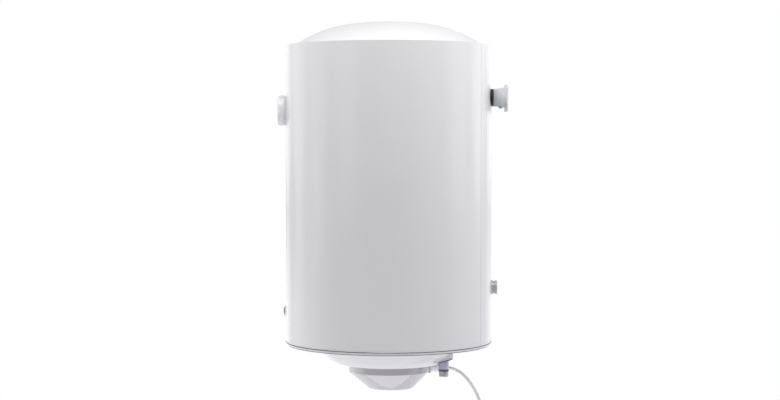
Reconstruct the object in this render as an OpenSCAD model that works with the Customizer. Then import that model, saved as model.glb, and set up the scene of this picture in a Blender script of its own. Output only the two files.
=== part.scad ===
// Wall-hung electric storage water heater, 80 litre class.
// The wall is the plane y = 0, the front faces -Y and +Z is up.
// The origin is the centre of the wall bracket's bolt line.

/* [Casing] */
// Outer diameter of the casing
casing_d = 450; // [440:1:460]
// Height of the casing between its two edges
casing_h = 650; // [640:1:660]
// Casing's top edge above the bracket's bolt line
top_edge = 114; // [110:1:118]
// Rise of the domed top above the casing's edge
dome_h = 51; // [50:0.5:58]
// Depth of the dished bottom below the casing's edge
dish_h = 46.5; // [46:0.5:48]
// Sheet thickness of the casing
casing_t = 1; // [0.8:0.1:1.4]

/* [Tank] */
// Outer diameter of the pressed steel tank
tank_d = 388; // [380:1:388]
// Wall thickness of the tank
tank_t = 2; // [1.5:0.1:2.5]
// Height of each domed tank head
head_h = 55; // [50:1:55]

/* [Wall fixing] */
// Gap from the casing's back to the wall
wall_gap = 34; // [33:1:36]
// Width of the wall plate
plate_w = 92; // [90:1:110]
// Height of the wall plate
plate_h = 59; // [56:1:64]
// Distance between the two wall bolts
bolt_spacing = 54; // [50:1:56]
// Width of a wall bolt slot
slot_w = 9; // [7:0.5:11]
// End to end length of a wall bolt slot
slot_l = 16; // [12:1:18]

/* [Water connections] */
// Distance between the cold and the hot connection
pipe_spacing = 100; // [98:1:104]
// Connections behind the tank's axis
pipe_back = 119.5; // [118:0.5:121]
// Outer diameter of a G1/2 nipple
nipple_d = 20.96; // [20.5:0.01:21]
// Bore of a nipple
nipple_bore = 15; // [15:0.5:16]

/* [Service cover] */
// Diameter of the cover's collar
cover_d = 182; // [180:1:184]
// Height of the whole cover
cover_h = 52.5; // [51:0.5:54]
// Diameter of the cover's flat bottom
cover_base_d = 100; // [98:1:104]

/* [Thermometer] */
// Diameter of the thermometer's bezel
bezel_d = 66; // [65:0.5:68]
// How far the bezel stands out of the casing
bezel_out = 17.5; // [17:0.5:19]

/* [Mains lead] */
// Diameter of the mains lead
cord_d = 7; // [6.5:0.1:7]

/* [Hidden] */
$fn = 96;

// Main places, measured in the wall frame
casing_r = casing_d / 2;
axis_y = -(wall_gap + casing_r);
bottom_edge = top_edge - casing_h;

// Casing edges
hem_h = 5;
hem_out = 0.7;
lip_w = 6;
lip_t = 1.4;

// Top cap: a crown that steepens towards its rim, then a ledge and a skirt
cap_t = 1.6;
crown_r = 206;
crown_power = 2.86;
ledge_z = top_edge - lip_t;
skirt_r = casing_r - casing_t - 0.2;
skirt_h = 14;
profile_steps = 28;
function crown_rise(r) = dome_h * (1 - pow(r / crown_r, crown_power));

// Bottom cap: flat rim, a smooth flank and a flat middle
dish_t = 2;
boss_t = 1.6;
dish_rim = bottom_edge + 1;
dish_outer = 178;
dish_inner = 102;
dish_skew = 0.85;
access_r = 75;
function smooth(t) = t * t * (3 - 2 * t);
function dish_part(r) = pow(min(1, max(0, (dish_outer - r) / (dish_outer - dish_inner))), dish_skew);
function dish_z(r) = dish_rim - (dish_h + 1) * smooth(dish_part(r));
cover_top = dish_rim - dish_h - 1;
cover_low = cover_top - cover_h;

// Tank and its heads
tank_r = tank_d / 2;
shell_top = 75;
shell_low = -475;

// Foam
foam_gap = 0.3;
foam_low = bottom_edge + 10;
foam_inner_low = 150;

// Flange on the tank's bottom head
neck_r = 46;
neck_out = 50;
flange_r = 64;
neck_top = -526;
collar_top = -548;
gasket_top = -554;
plate_top = -557;
plate_low = -562;
bolt_ring = 57;
bolt_count = 6;
bolt_r = 4;
hole_gap = 0.4;

// Pieces that the flange plate carries, as x and y from the tank's axis
element_x = 28;
element_y = 12;
element_r = 4.25;
element_bend = -330;
terminal_low = -576;
anode_y = 31;
anode_r = 11;
stud_r = 3;
well_y = -18;
well_r = 6;
well_bore = 4.8;
well_top = -330;
thermostat_top = -570;
thermostat_low = -600;
thermostat_w = 42;
thermostat_l = 40;
spindle_r = 3;
run_gap = 0.05;
button_pos = [12, -30];
button_r = 2.5;
earth_pos = [-14, -47];
post_pos = [36, -14];
post_r = 4.5;
post_low = -618;

// Terminal block and its bracket
block_y = [36, 54];
block_z = [-600, -585];
block_w = 32;
strip_t = 1.5;

// Service cover
cover_r = cover_d / 2;
cover_t = 2.5;
collar_h = 15.5;
base_r = cover_base_d / 2;
base_y = 5;
facet_top = 77;
facet_top_z = cover_top - collar_h;
facet_low = base_r + 2;
knob_r = 17;
knob_well_r = 19;
knob_well_h = 12;

// Cable gland, along +Y from the tank's axis
gland_z = cover_top - 10;
gland_r = 9.8;
gland_seat = cover_r + 1;
gland_inner = 84;
gland_flange = 5;
gland_end = 108;
boot_end = 126;
cord_r = cord_d / 2;
cord_gap = 0.05;

// Free stretch of the mains lead, from the strain relief down to the coil
cord_route = [
  [0, -133, -592.5], [0, -128, -592.5], [0, -121, -593.8], [0, -112, -597], [0, -101, -603],
  [0, -90, -613], [0, -78, -627.5], [0, -69, -642], [0, -61, -659],
  [-1, -54.5, -677], [-2.5, -50, -696], [-4.5, -47, -715], [-6, -45.5, -734],
  [-7, -45, -752], [-7, -45, -764]
];
tail_route = [
  [-14, -52, -764], [-15, -52, -774], [-16.5, -52, -783], [-17, -52, -790], [-17, -52, -794]
];
coil_pos = [0, -87, -764];
coil_outer = 45.7;
coil_inner = 31.3;
coil_w = 21.4;
tie_angle = 144;
tie_w = 8;
tie_t = 1.2;
plug_pos = [-17, -52];
plug_top = -794;
plug_boot_h = 20;
plug_h = 40;
plug_r = 18.5;
pin_spacing = 19;
pin_r = 2.4;
pin_l = 19;

// Water connections
pipe_x = pipe_spacing / 2;
nipple_r = nipple_d / 2;
pipe_r = nipple_r + 0.17;
nipple_low = -605;
nipple_top = -490;
thread_top = -594.5;
outlet_r = nipple_bore / 2 + 0.4;
outlet_low = -539;
ring_low = -594;
sleeve_low = -589;
sleeve_top = -566;
sleeve_r = 11;
ring_r = 11.2;
escutcheon_r = 19.6;
escutcheon_t = 3;
escutcheon_z = -568.5;
escutcheon_tilt = 13;
boss_r = 21.6;

// Wall bracket
stem_w = 80;
stem_t = 2.5;
plate_t = 2.5;
plate_corner = 8;
stem_in = [-11, 13];
stem_out = [-17, 18.5];
grommet_h = 36;
grommet_w = 102;
grommet_z = 1;
grommet_out = 2;
grommet_lap = 6;
spacer_z = -415;
spacer_r = 15;
spacer_out = 13;

// Thermometer and lamp, along -Y from the tank's axis
gauge_z = -27;
bezel_r = bezel_d / 2;
bezel_front = casing_r + bezel_out;
seal_front = casing_r + 4;
gauge_r = 30.4;
case_r = 28.5;
case_back = 208;
dial_front = seal_front + 4;
pin_gauge_r = 1;
lens_back = bezel_front - 3.5;
lamp_z = -467;
lamp_r = 8;
lamp_flange_r = 10.5;
lamp_back = 207;

module about_axis() {
  translate([0, axis_y, 0]) children();
}

module disc(r, low, high) {
  translate([0, 0, low]) cylinder(r = r, h = high - low);
}

module tube(r_out, r_in, low, high) {
  difference() {
    disc(r_out, low, high);
    disc(r_in, low - 1, high + 1);
  }
}

module hex(across_flats, low, high) {
  translate([0, 0, low]) cylinder(d = across_flats / cos(30), h = high - low, $fn = 6);
}

// Repeats its children at equal angles on a circle
module on_ring(count, radius, start = 0) {
  for (i = [0 : count - 1]) rotate([0, 0, start + i * 360 / count]) translate([radius, 0, 0]) children();
}

// Local +Z runs from the tank's axis out through the front
module facing_front(z) {
  translate([0, axis_y, z]) rotate([90, 0, 0]) children();
}

// Local +Z runs from the tank's axis out towards the wall
module facing_wall(z) {
  translate([0, axis_y, z]) rotate([-90, 0, 0]) children();
}

// The casing's outside as a solid, lying across a piece that faces front or wall
module across_casing(radius = casing_r) {
  rotate([90, 0, 0]) cylinder(r = radius, h = 200, center = true, $fn = 360);
}

module at_pipes() {
  for (x = [-pipe_x, pipe_x]) translate([x, pipe_back, 0]) children();
}

module rounded_plate(w, h, corner) {
  square([w - 2 * corner, h], center = true);
  square([w, h - 2 * corner], center = true);
  for (x = [-1, 1], y = [-1, 1]) translate([x * (w / 2 - corner), y * (h / 2 - corner)]) circle(corner);
}

module slot(length, width) {
  square([length - width, width], center = true);
  for (x = [-1, 1]) translate([x * (length - width) / 2, 0]) circle(d = width);
}

// A round tube along a list of points
function unit(v) = v / norm(v);
function heading(p, i) = unit(p[min(i + 1, len(p) - 1)] - p[max(i - 1, 0)]);
function ring_at(p, i, r, sides, side) =
  let (t = heading(p, i), u = unit(cross(side, t)), w = cross(t, u))
  [for (k = [0 : sides - 1]) p[i] + r * (cos(k * 360 / sides) * u + sin(k * 360 / sides) * w)];
module swept_tube(p, r, sides = 10, side = [1, 0, 0]) {
  last = len(p) - 1;
  points = [for (i = [0 : last]) each ring_at(p, i, r, sides, side)];
  walls = [for (i = [0 : last - 1], k = [0 : sides - 1])
    [i * sides + k, (i + 1) * sides + k, (i + 1) * sides + (k + 1) % sides, i * sides + (k + 1) % sides]];
  ends = [[for (k = [0 : sides - 1]) k], [for (k = [sides - 1 : -1 : 0]) last * sides + k]];
  polyhedron(points, concat(walls, ends), convexity = 8);
}

module outer_casing() {
  r = casing_r;
  color("white") difference() {
    about_axis() rotate_extrude() polygon([
      [r - casing_t, bottom_edge], [r, bottom_edge], [r + hem_out, bottom_edge + 0.8],
      [r + hem_out, bottom_edge + hem_h - 0.8], [r, bottom_edge + hem_h],
      [r, top_edge - 0.8], [r - 0.8, top_edge], [r - lip_w, top_edge],
      [r - lip_w, ledge_z], [r - casing_t, ledge_z]
    ]);
    facing_wall(grommet_z) translate([0, 0, 200]) linear_extrude(40)
      slot(grommet_w - grommet_lap, grommet_h - grommet_lap);
    facing_front(gauge_z) disc(case_r + 0.5, 200, 240);
    facing_front(lamp_z) disc(lamp_r + 0.5, 200, 240);
    facing_wall(spacer_z) disc(3, 200, 240);
  }
}

module top_cap() {
  crown = [for (i = [0 : profile_steps]) let (r = crown_r * i / profile_steps) [r, top_edge + crown_rise(r)]];
  inside = [for (i = [profile_steps : -1 : 0])
    let (r = (crown_r - 1) * i / profile_steps) [r, top_edge - cap_t + crown_rise(r)]];
  color("white") about_axis() rotate_extrude() polygon(concat(
    crown,
    [[crown_r + 2, ledge_z], [skirt_r - 1, ledge_z], [skirt_r, ledge_z - 1],
     [skirt_r, ledge_z - skirt_h], [skirt_r - cap_t, ledge_z - skirt_h],
     [skirt_r - cap_t, ledge_z - cap_t], [crown_r, ledge_z - cap_t]],
    inside
  ));
}

// The space above a pipe's tilted seat, seen from the pipe's axis
module above_seat(lift) {
  translate([0, 0, escutcheon_z]) rotate([escutcheon_tilt, 0, 0])
    translate([-40, -40, lift]) cube([80, 80, 60]);
}

// The dished wall's underside, and its upper side
function dish_under() = [for (r = dish_radii()) [r, dish_z(r)]];
function dish_over() = [for (r = dish_radii()) [r, dish_z(r) + dish_t]];
function dish_radii() =
  [for (i = [0 : profile_steps]) dish_outer + (access_r - dish_outer) * i / profile_steps];
function backwards(list) = [for (i = [len(list) - 1 : -1 : 0]) list[i]];

module bottom_cap() {
  rim = [[skirt_r - cap_t, dish_rim + skirt_h], [skirt_r, dish_rim + skirt_h],
    [skirt_r, dish_rim + 1], [skirt_r - 1, dish_rim]];
  color("white") about_axis() difference() {
    union() {
      rotate_extrude() polygon(concat(rim, dish_under(), backwards(dish_over()),
        [[skirt_r - cap_t, dish_rim + dish_t]]));
      // Collars from the dish down to the tilted seats on the wall side
      intersection() {
        at_pipes() intersection() {
          tube(boss_r, boss_r - boss_t, cover_top, dish_rim);
          above_seat(0);
        }
        rotate_extrude() polygon(concat(dish_over(), [[access_r, cover_low], [dish_outer, cover_low]]));
      }
      // Pockets from the dish up to the tilted seats on the front side
      intersection() {
        at_pipes() difference() {
          tube(boss_r, boss_r - boss_t, cover_top, dish_rim);
          above_seat(dish_t);
        }
        rotate_extrude() polygon(concat(dish_under(), [[access_r, dish_rim], [dish_outer, dish_rim]]));
      }
      at_pipes() difference() {
        intersection() {
          disc(boss_r, cover_top, dish_rim);
          above_seat(0);
        }
        above_seat(dish_t);
      }
    }
    at_pipes() difference() {
      disc(boss_r - boss_t, cover_top - 5, dish_rim + 10);
      difference() {
        above_seat(0);
        above_seat(dish_t);
      }
    }
    at_pipes() disc(sleeve_r + 0.4, cover_top - 5, dish_rim + 10);
  }
}

module foam_insulation() {
  under_cap = [for (i = [profile_steps : -1 : 0])
    let (r = (crown_r - 4) * i / profile_steps) [r, top_edge - cap_t - 1 + crown_rise(r)]];
  inner_r = tank_r + foam_gap;
  inner_h = head_h + foam_gap;
  low_angle = acos(foam_inner_low / inner_r);
  over_head = [for (i = [profile_steps : -1 : 0]) let (a = 90 * i / profile_steps)
    [inner_r * cos(a), shell_top + foam_gap + inner_h * sin(a)]];
  under_head = [for (i = [0 : 12]) let (a = low_angle * i / 12)
    [inner_r * cos(a), shell_low - foam_gap - inner_h * sin(a)]];
  foam_r = skirt_r - cap_t - 0.3;
  color("khaki") difference() {
    about_axis() rotate_extrude() polygon(concat(
      over_head, under_head,
      [[foam_inner_low, foam_low], [foam_r, foam_low], [foam_r, ledge_z - cap_t - 1],
       [crown_r - 4, ledge_z - cap_t - 1]],
      under_cap
    ));
    bracket_clearance();
    facing_front(gauge_z) disc(case_r + 1, tank_r - 5, casing_r);
    facing_front(lamp_z) disc(lamp_r + 1, tank_r, casing_r);
    facing_front(0) translate([-4, foam_low - 1, tank_r - 30]) cube([8, lamp_z - foam_low + 1, 44]);
  }
}

module bracket_clearance() {
  translate([-grommet_w / 2 - 1, axis_y + tank_r - 15, grommet_z - grommet_h / 2 - 1])
    cube([grommet_w + 2, 60, grommet_h + 2]);
}

module tank_shell() {
  color("steelblue") about_axis() tube(tank_r, tank_r - tank_t, shell_low, shell_top);
}

// A domed head, its open side down, with its rim at the origin
module tank_head() {
  inner_r = tank_r - tank_t;
  inner_h = head_h - tank_t;
  rotate_extrude() polygon(concat(
    [for (i = [0 : profile_steps]) let (a = 90 * i / profile_steps) [tank_r * cos(a), head_h * sin(a)]],
    [for (i = [profile_steps : -1 : 0]) let (a = 90 * i / profile_steps) [inner_r * cos(a), inner_h * sin(a)]]
  ));
}

module tank_top_head() {
  color("steelblue") about_axis() translate([0, 0, shell_top]) tank_head();
}

module tank_bottom_head() {
  color("steelblue") about_axis() difference() {
    translate([0, 0, shell_low]) mirror([0, 0, 1]) tank_head();
    disc(neck_out, shell_low - 80, shell_low);
    at_pipes() disc(pipe_r, shell_low - 80, shell_low);
  }
}

module flange_holes() {
  on_ring(bolt_count, bolt_ring) disc(bolt_r + hole_gap, plate_low - 5, neck_top);
}

module flange_collar() {
  color("gray") about_axis() difference() {
    union() {
      tube(neck_out, neck_r, collar_top, neck_top);
      tube(flange_r, neck_r, gasket_top, collar_top);
    }
    flange_holes();
  }
}

module flange_gasket() {
  color("black") about_axis() difference() {
    tube(flange_r, neck_r, plate_top, gasket_top);
    flange_holes();
  }
}

module flange_plate() {
  color("silver") about_axis() difference() {
    disc(flange_r, plate_low, plate_top);
    flange_holes();
    at_elements() disc(element_r, plate_low - 1, plate_top + 1);
    translate([0, anode_y, 0]) disc(stud_r, plate_low - 1, plate_top + 1);
    translate([0, well_y, 0]) disc(well_r, plate_low - 1, plate_top + 1);
  }
}

module flange_bolts() {
  color("silver") about_axis() on_ring(bolt_count, bolt_ring) {
    hex(12, collar_top, collar_top + 5);
    disc(bolt_r, plate_low - 9, collar_top);
  }
}

module flange_nuts() {
  color("silver") about_axis() on_ring(bolt_count, bolt_ring) difference() {
    hex(13, plate_low - 6.5, plate_low);
    disc(bolt_r, plate_low - 7, plate_low + 1);
  }
}

module at_elements() {
  for (x = [-element_x, element_x]) translate([x, element_y, 0]) children();
}

module heating_element() {
  color("dimgray") about_axis() {
    at_elements() {
      disc(element_r, plate_low - 5, element_bend);
      disc(2, terminal_low, plate_low - 5);
    }
    translate([0, element_y, element_bend]) rotate([90, 0, 0])
      rotate_extrude(angle = 180) translate([element_x, 0]) circle(element_r);
  }
}

module element_fittings() {
  color("gold") about_axis() at_elements() difference() {
    hex(14, plate_low - 5, plate_low);
    disc(element_r, plate_low - 6, plate_low + 1);
  }
}

module anode_rod() {
  color("lightgray") about_axis() translate([0, anode_y, 0]) {
    disc(anode_r, plate_top + 20, element_bend);
    disc(stud_r, plate_low - 11, plate_top + 20);
  }
}

module anode_nut() {
  color("silver") about_axis() translate([0, anode_y, 0]) difference() {
    hex(10, plate_low - 5, plate_low);
    disc(stud_r, plate_low - 6, plate_low + 1);
  }
}

module thermowell() {
  color("silver") about_axis() translate([0, well_y, 0]) difference() {
    union() {
      disc(well_r, plate_low, well_top);
      hex(16, thermostat_top, plate_low);
    }
    disc(well_bore, thermostat_top - 1, well_top - 2);
  }
}

module thermostat_probe() {
  color("silver") about_axis() translate([0, well_y, 0])
    disc(well_bore - 0.5, thermostat_top, well_top - 20);
}

module thermostat_body() {
  color("darkslategray") about_axis() difference() {
    translate([-thermostat_w / 2, well_y - thermostat_l / 2, thermostat_low])
      cube([thermostat_w, thermostat_l, thermostat_top - thermostat_low]);
    translate([0, well_y, 0]) disc(spindle_r + run_gap, thermostat_low - 1, thermostat_low + 8);
    translate([button_pos[0], button_pos[1], 0])
      disc(button_r + run_gap, thermostat_low - 1, thermostat_low + 10);
  }
}

module reset_button() {
  color("red") about_axis() translate([button_pos[0], button_pos[1], 0])
    disc(button_r, thermostat_low - 3, thermostat_low + 6);
}

module thermostat_spindle() {
  color("silver") about_axis() translate([0, well_y, 0])
    disc(spindle_r, cover_low + 4, thermostat_low + 7);
}

module temperature_knob() {
  knob_top = cover_low + 9.5;
  color("lightgray") about_axis() translate([0, well_y, 0]) difference() {
    union() {
      disc(knob_r, knob_top - 4, knob_top);
      translate([-2.5, 1 - knob_r, cover_low + 1]) cube([5, 2 * knob_r - 2, knob_top - cover_low - 3]);
      disc(6.5, cover_low + 1, knob_top - 2);
    }
    disc(spindle_r, cover_low + 4, knob_top + 1);
  }
}

module terminal_bracket() {
  strip_low = block_z[1];
  strip_w = 18;
  color("silver") about_axis() {
    translate([-strip_w / 2, well_y + thermostat_l / 2, strip_low])
      cube([strip_w, block_y[1] - well_y - thermostat_l / 2, strip_t]);
    translate([-strip_w / 2, block_y[1] - strip_t, strip_low])
      cube([strip_w, strip_t, plate_low - strip_low]);
  }
}

module terminal_block() {
  color("ivory") about_axis() difference() {
    translate([-block_w / 2, block_y[0], block_z[0]])
      cube([block_w, block_y[1] - block_y[0], block_z[1] - block_z[0]]);
    for (x = [-10, 0, 10], y = [4, 14]) translate([x, block_y[0] + y, 0])
      disc(2, block_z[0] - 1, block_z[0] + 5);
  }
}

module internal_wiring() {
  wire_r = 1.3;
  aside = [-1, 1, 2];
  left_y = well_y + thermostat_l / 2;
  half_w = thermostat_w / 2;
  sheath_y = 60;
  color("saddlebrown") about_axis() {
    // Cores from the thermostat to the terminal block and the element
    for (x = [-10, 10]) translate([x, 0, gland_z]) rotate([-90, 0, 0]) disc(wire_r, left_y, block_y[0]);
    for (s = [-1, 1]) swept_tube([
      [s * half_w, -8, -582], [s * (half_w + 2), -8, -582], [s * (half_w + 5), -6, -582.5],
      [s * (element_x + 1), -1, -583.5],
      [s * element_x, 8, -583.5], [s * element_x, element_y, -580.5],
      [s * element_x, element_y, terminal_low]
    ], wire_r, 8, [0.3, 0, -1]);
    // Earth core, round the thermostat to the earth stud
    swept_tube([
      [-3, block_y[0], -597], [-3, block_y[0] - 1.5, -597], [-5, 32, -597],
      [-16, 27, -597.5], [-25, 14, -597], [-27.5, -10, -594],
      [-27, -30, -590], [-22, -42, -585], [-15.5, -46.6, -580.5],
      [earth_pos[0], earth_pos[1], -577.5], [earth_pos[0], earth_pos[1], -575]
    ], wire_r, 8, [1, 0.4, 0.6]);
    // Cores from the sheathed lead to the terminal block
    for (s = [-1, 0, 1]) swept_tube([
      [s * 2.3, sheath_y + 0.5, gland_z], [s * 3, sheath_y - 1.5, gland_z],
      [s * 7, block_y[1] + 2.6, gland_z], [s * 8, block_y[1] + 1.2, gland_z], [s * 8, block_y[1], gland_z]
    ], 1, 8);
    translate([0, 0, gland_z]) rotate([-90, 0, 0]) disc(cord_r, sheath_y, boot_end);
  }
}

module earth_stud() {
  color("gold") about_axis() translate([earth_pos[0], earth_pos[1], 0]) {
    disc(2, -575, plate_low);
    hex(7, plate_low - 3.5, plate_low);
  }
}

module lamp_lead() {
  color("gray") about_axis() swept_tube([
    [0, -lamp_back, lamp_z], [0, 2 - lamp_back, lamp_z], [0, -202.5, lamp_z - 1.5],
    [0, -200.5, lamp_z - 5], [0, -199.5, -485],
    [0, -199.5, -500], [0, -199, -514], [0, -197, -522], [0, -192, -527.5], [0, -184, -530],
    [0, -174, -531.5], [0, -164, -536], [0, -150, -547], [0, -135, -558], [0, -115, -568],
    [0, -95, -574], [0, -75, -577], [0, -55, -580], [0, -45, -582], [0, well_y - thermostat_l / 2, -582]
  ], 1.6, 8);
}

module water_nipples() {
  color("silver") about_axis() difference() {
    at_pipes() {
      disc(nipple_r, nipple_low, thread_top);
      disc(pipe_r, thread_top, nipple_top);
    }
    at_pipes() disc(nipple_bore / 2, nipple_low - 1, nipple_top + 1);
    // Seat of the outlet pipe in the hot nipple
    translate([-pipe_x, pipe_back, 0]) disc(outlet_r + 0.1, outlet_low - 1, nipple_top + 1);
  }
}

module inlet_diffuser() {
  cap_r = pipe_r + 2;
  color("white") about_axis() translate([pipe_x, pipe_back, 0]) difference() {
    disc(cap_r, nipple_top - 9, nipple_top + 12);
    disc(pipe_r, nipple_top - 10, nipple_top);
    disc(nipple_bore / 2 + 0.5, nipple_top - 1, nipple_top + 10);
    for (a = [0, 60, 120]) rotate([0, 0, a])
      translate([-cap_r - 1, -2, nipple_top + 2]) cube([2 * cap_r + 2, 4, 6]);
  }
}

module outlet_pipe() {
  color("silver") about_axis() translate([-pipe_x, pipe_back, 0])
    tube(outlet_r, outlet_r - 1, outlet_low, shell_top + 22);
}

module pipe_sleeve() {
  tube(sleeve_r, pipe_r, sleeve_low, sleeve_top);
}

module cold_sleeve() {
  color("lightsteelblue") about_axis() translate([pipe_x, pipe_back, 0]) pipe_sleeve();
}

module hot_sleeve() {
  color("indianred") about_axis() translate([-pipe_x, pipe_back, 0]) pipe_sleeve();
}

module pipe_rings() {
  color("dimgray") about_axis() at_pipes() tube(ring_r, pipe_r, ring_low, sleeve_low);
}

module pipe_escutcheons() {
  color("slategray") about_axis() at_pipes() difference() {
    translate([0, 0, escutcheon_z]) rotate([escutcheon_tilt, 0, 0])
      disc(escutcheon_r, -escutcheon_t, 0);
    disc(sleeve_r + 0.2, sleeve_low - 5, sleeve_top + 10);
  }
}

// The cover's outside, drawn in by a wall thickness when it is hollowed
module cover_form(inset = 0) {
  run = (facet_top - facet_low) / (facet_top_z - cover_low);
  shift = inset * sqrt(1 + run * run);
  difference() {
    union() {
      disc(cover_r - inset, facet_top_z, cover_top + inset);
      hull() {
        disc(cover_r - inset, facet_top_z - 0.1, facet_top_z);
        translate([0, base_y, 0]) disc(base_r - inset * 0.6, cover_low + inset, cover_low + inset + 0.1);
      }
    }
    for (side = [0, 1]) mirror([side, 0, 0]) rotate([90, 0, 0]) linear_extrude(2 * cover_r, center = true)
      polygon([
        [facet_top - shift + run * inset, facet_top_z + inset], [cover_r + 1, facet_top_z + inset],
        [cover_r + 1, cover_low - 1], [facet_low - shift - run, cover_low - 1]
      ]);
  }
}

module service_cover() {
  well_top_z = cover_low + knob_well_h;
  color("gainsboro") about_axis() difference() {
    union() {
      difference() {
        cover_form();
        cover_form(cover_t);
      }
      translate([0, well_y, 0]) disc(knob_well_r + 2, cover_low, well_top_z);
      at_posts() disc(post_r + 2, cover_low + 1, post_low);
      intersection() {
        translate([-12, gland_inner, cover_top - 19.9]) cube([24, gland_seat - gland_inner, 19.8]);
        disc(cover_r + 1.5, cover_low, cover_top);
      }
    }
    translate([0, well_y, 0]) {
      disc(knob_well_r, cover_low - 1, well_top_z - 2);
      disc(spindle_r + 0.6, cover_low, well_top_z + 1);
    }
    at_posts() {
      disc(5, cover_low - 1, cover_low + 4);
      disc(2.7, cover_low, post_low + 1);
    }
    translate([0, 0, gland_z]) rotate([-90, 0, 0]) disc(8, 60, 120);
  }
}

module at_posts() {
  for (s = [-1, 1]) translate([s * post_pos[0], post_pos[1], 0]) children();
}

module cover_posts() {
  color("gold") about_axis() at_posts() difference() {
    hex(2 * post_r, post_low, plate_low);
    disc(2.4, post_low - 1, post_low + 12);
  }
}

module cover_screws() {
  color("silver") about_axis() at_posts() difference() {
    union() {
      disc(4.6, cover_low + 0.8, cover_low + 4);
      disc(2.4, cover_low + 4, post_low + 9);
    }
    for (a = [0, 90]) rotate([0, 0, a]) translate([-3, -0.5, cover_low]) cube([6, 1, 2.4]);
  }
}

// Local +Z runs along the lead, out of the cover towards the wall
module along_gland() {
  facing_wall(gland_z) children();
}

module gland_body() {
  color("white") along_gland() difference() {
    union() {
      disc(8, gland_inner - 4, gland_seat);
      disc(gland_r, gland_seat, gland_seat + gland_flange);
      disc(7.5, gland_seat + gland_flange, gland_end - 4);
    }
    disc(cord_r + 0.5, gland_inner - 5, gland_end);
    disc(6.2, gland_end - 10, gland_end);
  }
}

module gland_locknut() {
  color("white") along_gland() tube(gland_r - 0.2, 8, gland_inner - 4, gland_inner);
}

module gland_nut() {
  color("white") along_gland() difference() {
    disc(gland_r, gland_seat + gland_flange, gland_end);
    disc(7.5, gland_seat, gland_end - 2.5);
    disc(6.5, gland_seat, gland_end + 1);
    on_ring(12, gland_r + 0.4) disc(0.9, gland_seat + gland_flange + 1.5, gland_end - 1.5);
  }
}

module gland_seal() {
  color("black") along_gland() tube(6.2, cord_r + cord_gap, gland_end - 10, gland_end - 4);
}

module cord_boot() {
  low = gland_end - 4;
  color("whitesmoke") along_gland() rotate_extrude() polygon([
    [cord_r + cord_gap, low], [7.4, low], [7.4, low + 1.4], [6.4, low + 1.4],
    [6.4, gland_end + 1], [4.7, boot_end], [cord_r + cord_gap, boot_end]
  ]);
}

module power_cord() {
  color("lightgray") swept_tube(cord_route, cord_r, 10);
}

module cord_coil() {
  color("lightgray") translate(coil_pos) rotate([0, 90, 0])
    tube(coil_outer, coil_inner, -coil_w / 2, coil_w / 2);
}

module cord_tail() {
  color("lightgray") swept_tube(tail_route, cord_r, 10);
}

module cord_tie() {
  mid_r = (coil_outer + coil_inner) / 2;
  depth = coil_outer - coil_inner;
  color("dimgray") translate(coil_pos) rotate([-tie_angle, 0, 0]) translate([0, mid_r, 0]) difference() {
    cube([coil_w + 2 * tie_t, depth + 2 * tie_t + 1, tie_w], center = true);
    cube([coil_w, depth + 1, tie_w + 1], center = true);
  }
}

// Local origin on the plug's axis where the lead enters it
module at_plug() {
  translate([plug_pos[0], plug_pos[1], plug_top]) children();
}

module plug_body() {
  color("lightgray") at_plug() rotate_extrude() polygon([
    [0, 0], [4.4, 0], [5.8, -plug_boot_h], [11, -plug_boot_h - 4], [plug_r - 1, -plug_boot_h - 12],
    [plug_r, -plug_boot_h - 14], [plug_r, -plug_boot_h - plug_h + 1],
    [plug_r - 1, -plug_boot_h - plug_h], [0, -plug_boot_h - plug_h]
  ]);
}

module plug_pins() {
  face = -plug_boot_h - plug_h;
  color("silver") at_plug() for (s = [-1, 1]) translate([0, s * pin_spacing / 2, face]) {
    disc(pin_r, -pin_l + 1, 0);
    translate([0, 0, -pin_l]) cylinder(r1 = pin_r - 1, r2 = pin_r, h = 1);
  }
}

// The bracket's side outline, as y from the wall plate and z
function stem_outline(top) = [
  [axis_y + tank_r - 4, stem_in[0]], [grommet_face, stem_in[0]], [grommet_face + 1, stem_out[0]],
  [-16, stem_out[0]], [-15, -20.5], [-14, -21.5], [-9, -21.5], [-8, -20.5], [-7.5, stem_out[0] + 1],
  [-plate_t, stem_out[0] + 1.5], [-plate_t, 22.5 - top], [grommet_face + 1, stem_out[1] - top],
  [grommet_face, stem_in[1] - top], [axis_y + tank_r - 4, stem_in[1] - top]
];
grommet_face = axis_y + casing_r + grommet_out;

module side_sheet(width, outline) {
  translate([-width / 2, 0, 0]) rotate([90, 0, 90]) linear_extrude(width) polygon(outline);
}

module bracket_stem() {
  color("darkgray") difference() {
    side_sheet(stem_w, stem_outline(0));
    translate([0, 0, -stem_t]) side_sheet(stem_w - 2 * stem_t, stem_outline(0));
    translate([-stem_w / 2 + stem_t, axis_y, -40]) cube([stem_w - 2 * stem_t, -axis_y - plate_t, 48]);
    about_axis() disc(tank_r, -60, 60);
  }
}

module bracket_plate() {
  color("gainsboro") rotate([90, 0, 0]) linear_extrude(plate_t) difference() {
    rounded_plate(plate_w, plate_h, plate_corner);
    for (s = [-1, 1]) translate([s * bolt_spacing / 2, 0]) slot(slot_l, slot_w);
  }
}

module bracket_grommet() {
  depth = 14;
  fit = 0.4;
  color("black") facing_wall(grommet_z) difference() {
    union() {
      translate([0, 0, casing_r - depth]) linear_extrude(grommet_out + depth)
        slot(grommet_w - grommet_lap - fit, grommet_h - grommet_lap - fit);
      difference() {
        translate([0, 0, casing_r - depth]) linear_extrude(grommet_out + depth) slot(grommet_w, grommet_h);
        across_casing();
      }
    }
    translate([-stem_w / 2 - 0.2, grommet_z - stem_in[1] - 0.2, casing_r - 2 * depth])
      cube([stem_w + 0.4, stem_in[1] - stem_in[0] + 0.4, 4 * depth]);
  }
}

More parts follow.
